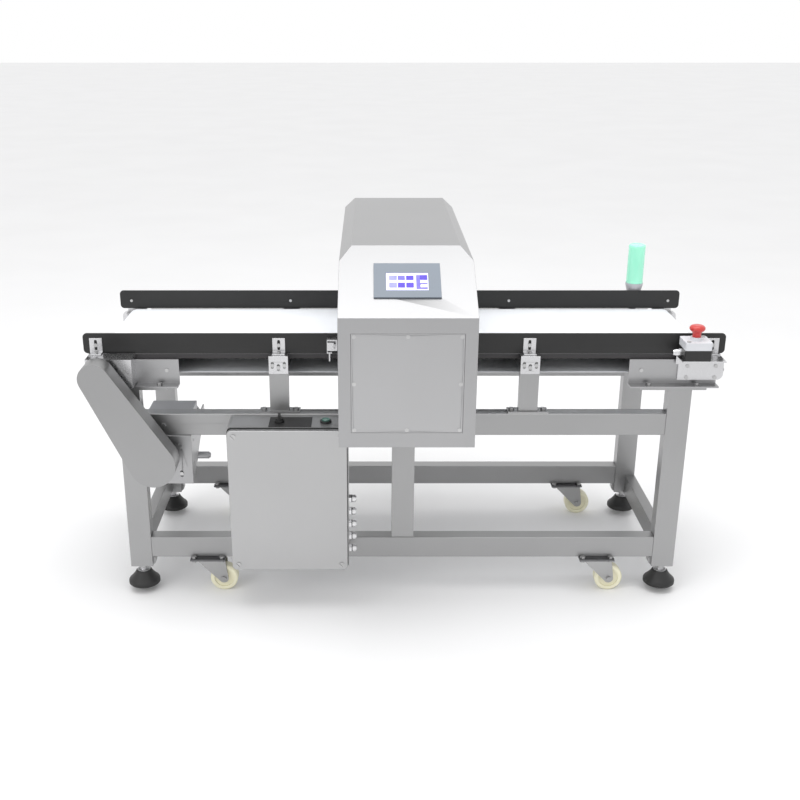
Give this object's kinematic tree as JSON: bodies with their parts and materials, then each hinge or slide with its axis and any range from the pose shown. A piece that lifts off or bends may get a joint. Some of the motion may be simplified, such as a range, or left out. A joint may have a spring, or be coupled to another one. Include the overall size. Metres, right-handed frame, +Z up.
{
  "type": "conveyor metal detector",
  "caption": "Belt conveyor on a wheeled tubular frame running through a box-shaped metal detector head with a sloped touch panel, control cabinet, stop switch and signal light.",
  "frame": {"origin": "centre of the machine's footprint on the floor, under the caster wheels", "axes": "+X along the conveyor from the driven end to the tail end, +Y from the operator's side to the back, +Z up"},
  "size_m": [1.669, 0.953, 0.9725],
  "materials": {
    "frame_steel": "satin stainless tube",
    "sheet_steel": "brushed stainless sheet",
    "bright_steel": "bright stainless",
    "dark_steel": "dark grey",
    "gearmotor_alloy": "cast, matt",
    "chain_steel": "oiled",
    "belt_white": "smooth white",
    "black_plastic": "matt black",
    "foot_black": "matt black with a steel spindle",
    "wheel_cream": "cream nylon",
    "liner_white": "white",
    "coil_resin": "cast resin",
    "bezel_slate": "slate grey",
    "screen_blue": "lit screen",
    "sensor_grey": "grey",
    "gasket_black": "matt black",
    "gland_plated": "nickel plated",
    "button_green": "clear green",
    "lid_grey": "light grey",
    "stop_red": "red",
    "light_grey": "light grey",
    "lens_green": "mint green, translucent"
  },
  "bodies": {
    "machine": {"aperture_liner": "liner_white", "bearing_plates": "bright_steel", "bed_supports": "frame_steel", "bracket_shelves": "bright_steel", "cabinet_body": "sheet_steel", "cabinet_door": "sheet_steel", "cabinet_gasket": "gasket_black", "cable_glands": "gland_plated", "caster_plates": "dark_steel", "centre_post": "frame_steel", "chain_guard": "sheet_steel", "control_bezels": "black_plastic", "conveyor_bed": "black_plastic", "conveyor_belt": "belt_white", "detector_housing": "sheet_steel", "drive_chain": "chain_steel", "end_channels": "sheet_steel", "frame_fasteners": "bright_steel", "gear_motor": "gearmotor_alloy", "guide_rails": "black_plastic", "leg_front_left": "frame_steel", "leg_front_right": "frame_steel", "leg_rear_left": "frame_steel", "leg_rear_right": "frame_steel", "lower_beam_front": "frame_steel", "lower_beam_rear": "frame_steel", "machine_screws": "bright_steel", "motor_bracket": "sheet_steel", "photo_eye": "sensor_grey", "rail_brackets": "bright_steel", "search_coils": "coil_resin", "service_panel": "sheet_steel", "side_beam_left": "frame_steel", "side_beam_right": "frame_steel", "stop_base": "black_plastic", "stop_lid": "lid_grey", "touch_panel": "bezel_slate", "touch_screen": "screen_blue", "tower_light_base": "light_grey", "tower_light_lens": "lens_green", "upper_beam_front": "frame_steel", "upper_beam_rear": "frame_steel"},
    "swivel_front_left": {"caster_fork_front_left": "bright_steel"},
    "wheel_front_left": {"caster_wheel_front_left": "wheel_cream"},
    "foot_front_left": {"levelling_foot_front_left": "foot_black"},
    "swivel_front_right": {"caster_fork_front_right": "bright_steel"},
    "wheel_front_right": {"caster_wheel_front_right": "wheel_cream"},
    "foot_front_right": {"levelling_foot_front_right": "foot_black"},
    "swivel_rear_left": {"caster_fork_rear_left": "bright_steel"},
    "wheel_rear_left": {"caster_wheel_rear_left": "wheel_cream"},
    "foot_rear_left": {"levelling_foot_rear_left": "foot_black"},
    "swivel_rear_right": {"caster_fork_rear_right": "bright_steel"},
    "wheel_rear_right": {"caster_wheel_rear_right": "wheel_cream"},
    "foot_rear_right": {"levelling_foot_rear_right": "foot_black"},
    "motor_shaft": {"motor_sprocket": "chain_steel"},
    "drive_roller": {"drive_roller": "bright_steel"},
    "tail_roller": {"tail_roller": "bright_steel"},
    "stop_button": {"stop_button": "stop_red"},
    "start_button": {"start_button": "button_green"},
    "selector": {"selector_knob": "black_plastic"}
  },
  "joints": [
    {"name": "swivel_front_left", "type": "hinge", "parent": "machine", "child": "swivel_front_left", "pos_m": [-0.535, -0.2205, 0.1005], "axis": [0, 0, 1], "continuous": true},
    {"name": "wheel_front_left", "type": "hinge", "parent": "swivel_front_left", "child": "wheel_front_left", "pos_m": [-0.495, -0.2205, 0.038], "axis": [0, 1, 0], "continuous": true},
    {"name": "foot_front_left", "type": "slide", "parent": "machine", "child": "foot_front_left", "axis": [0, 0, 1], "range_m": [-0.04, 0.002]},
    {"name": "swivel_front_right", "type": "hinge", "parent": "machine", "child": "swivel_front_right", "pos_m": [0.535, -0.2205, 0.1005], "axis": [0, 0, 1], "continuous": true},
    {"name": "wheel_front_right", "type": "hinge", "parent": "swivel_front_right", "child": "wheel_front_right", "pos_m": [0.575, -0.2205, 0.038], "axis": [0, 1, 0], "continuous": true},
    {"name": "foot_front_right", "type": "slide", "parent": "machine", "child": "foot_front_right", "axis": [0, 0, 1], "range_m": [-0.04, 0.002]},
    {"name": "swivel_rear_left", "type": "hinge", "parent": "machine", "child": "swivel_rear_left", "pos_m": [-0.535, 0.2795, 0.1005], "axis": [0, 0, 1], "continuous": true},
    {"name": "wheel_rear_left", "type": "hinge", "parent": "swivel_rear_left", "child": "wheel_rear_left", "pos_m": [-0.495, 0.2795, 0.038], "axis": [0, 1, 0], "continuous": true},
    {"name": "foot_rear_left", "type": "slide", "parent": "machine", "child": "foot_rear_left", "axis": [0, 0, 1], "range_m": [-0.04, 0.002]},
    {"name": "swivel_rear_right", "type": "hinge", "parent": "machine", "child": "swivel_rear_right", "pos_m": [0.535, 0.2795, 0.1005], "axis": [0, 0, 1], "continuous": true},
    {"name": "wheel_rear_right", "type": "hinge", "parent": "swivel_rear_right", "child": "wheel_rear_right", "pos_m": [0.575, 0.2795, 0.038], "axis": [0, 1, 0], "continuous": true},
    {"name": "foot_rear_right", "type": "slide", "parent": "machine", "child": "foot_rear_right", "axis": [0, 0, 1], "range_m": [-0.04, 0.002]},
    {"name": "motor_turn", "type": "hinge", "parent": "machine", "child": "motor_shaft", "pos_m": [-0.65, -0.3105, 0.419], "axis": [0, 1, 0], "continuous": true},
    {"name": "drive_roller_turn", "type": "hinge", "parent": "machine", "child": "drive_roller", "pos_m": [-0.782, 0.0295, 0.652], "axis": [0, 1, 0], "continuous": true},
    {"name": "tail_roller_turn", "type": "hinge", "parent": "machine", "child": "tail_roller", "pos_m": [0.782, 0.0295, 0.652], "axis": [0, 1, 0], "continuous": true},
    {"name": "stop_button_push", "type": "slide", "parent": "machine", "child": "stop_button", "axis": [0, 0, 1], "range_m": [-0.006, 0]},
    {"name": "start_button_push", "type": "slide", "parent": "machine", "child": "start_button", "axis": [0, 0, 1], "range_m": [-0.003, 0], "stiffness_N_per_m": 1000, "springref_m": 0.001},
    {"name": "selector_turn", "type": "hinge", "parent": "machine", "child": "selector", "pos_m": [-0.323, -0.2915, 0.53], "axis": [0, 0, 1], "range_deg": [-45, 45]}
  ],
  "couplings": [
    {"joint": "drive_roller_turn", "follows": "motor_turn", "ratio": 1.6154},
    {"joint": "tail_roller_turn", "follows": "motor_turn", "ratio": 1.6154}
  ]
}
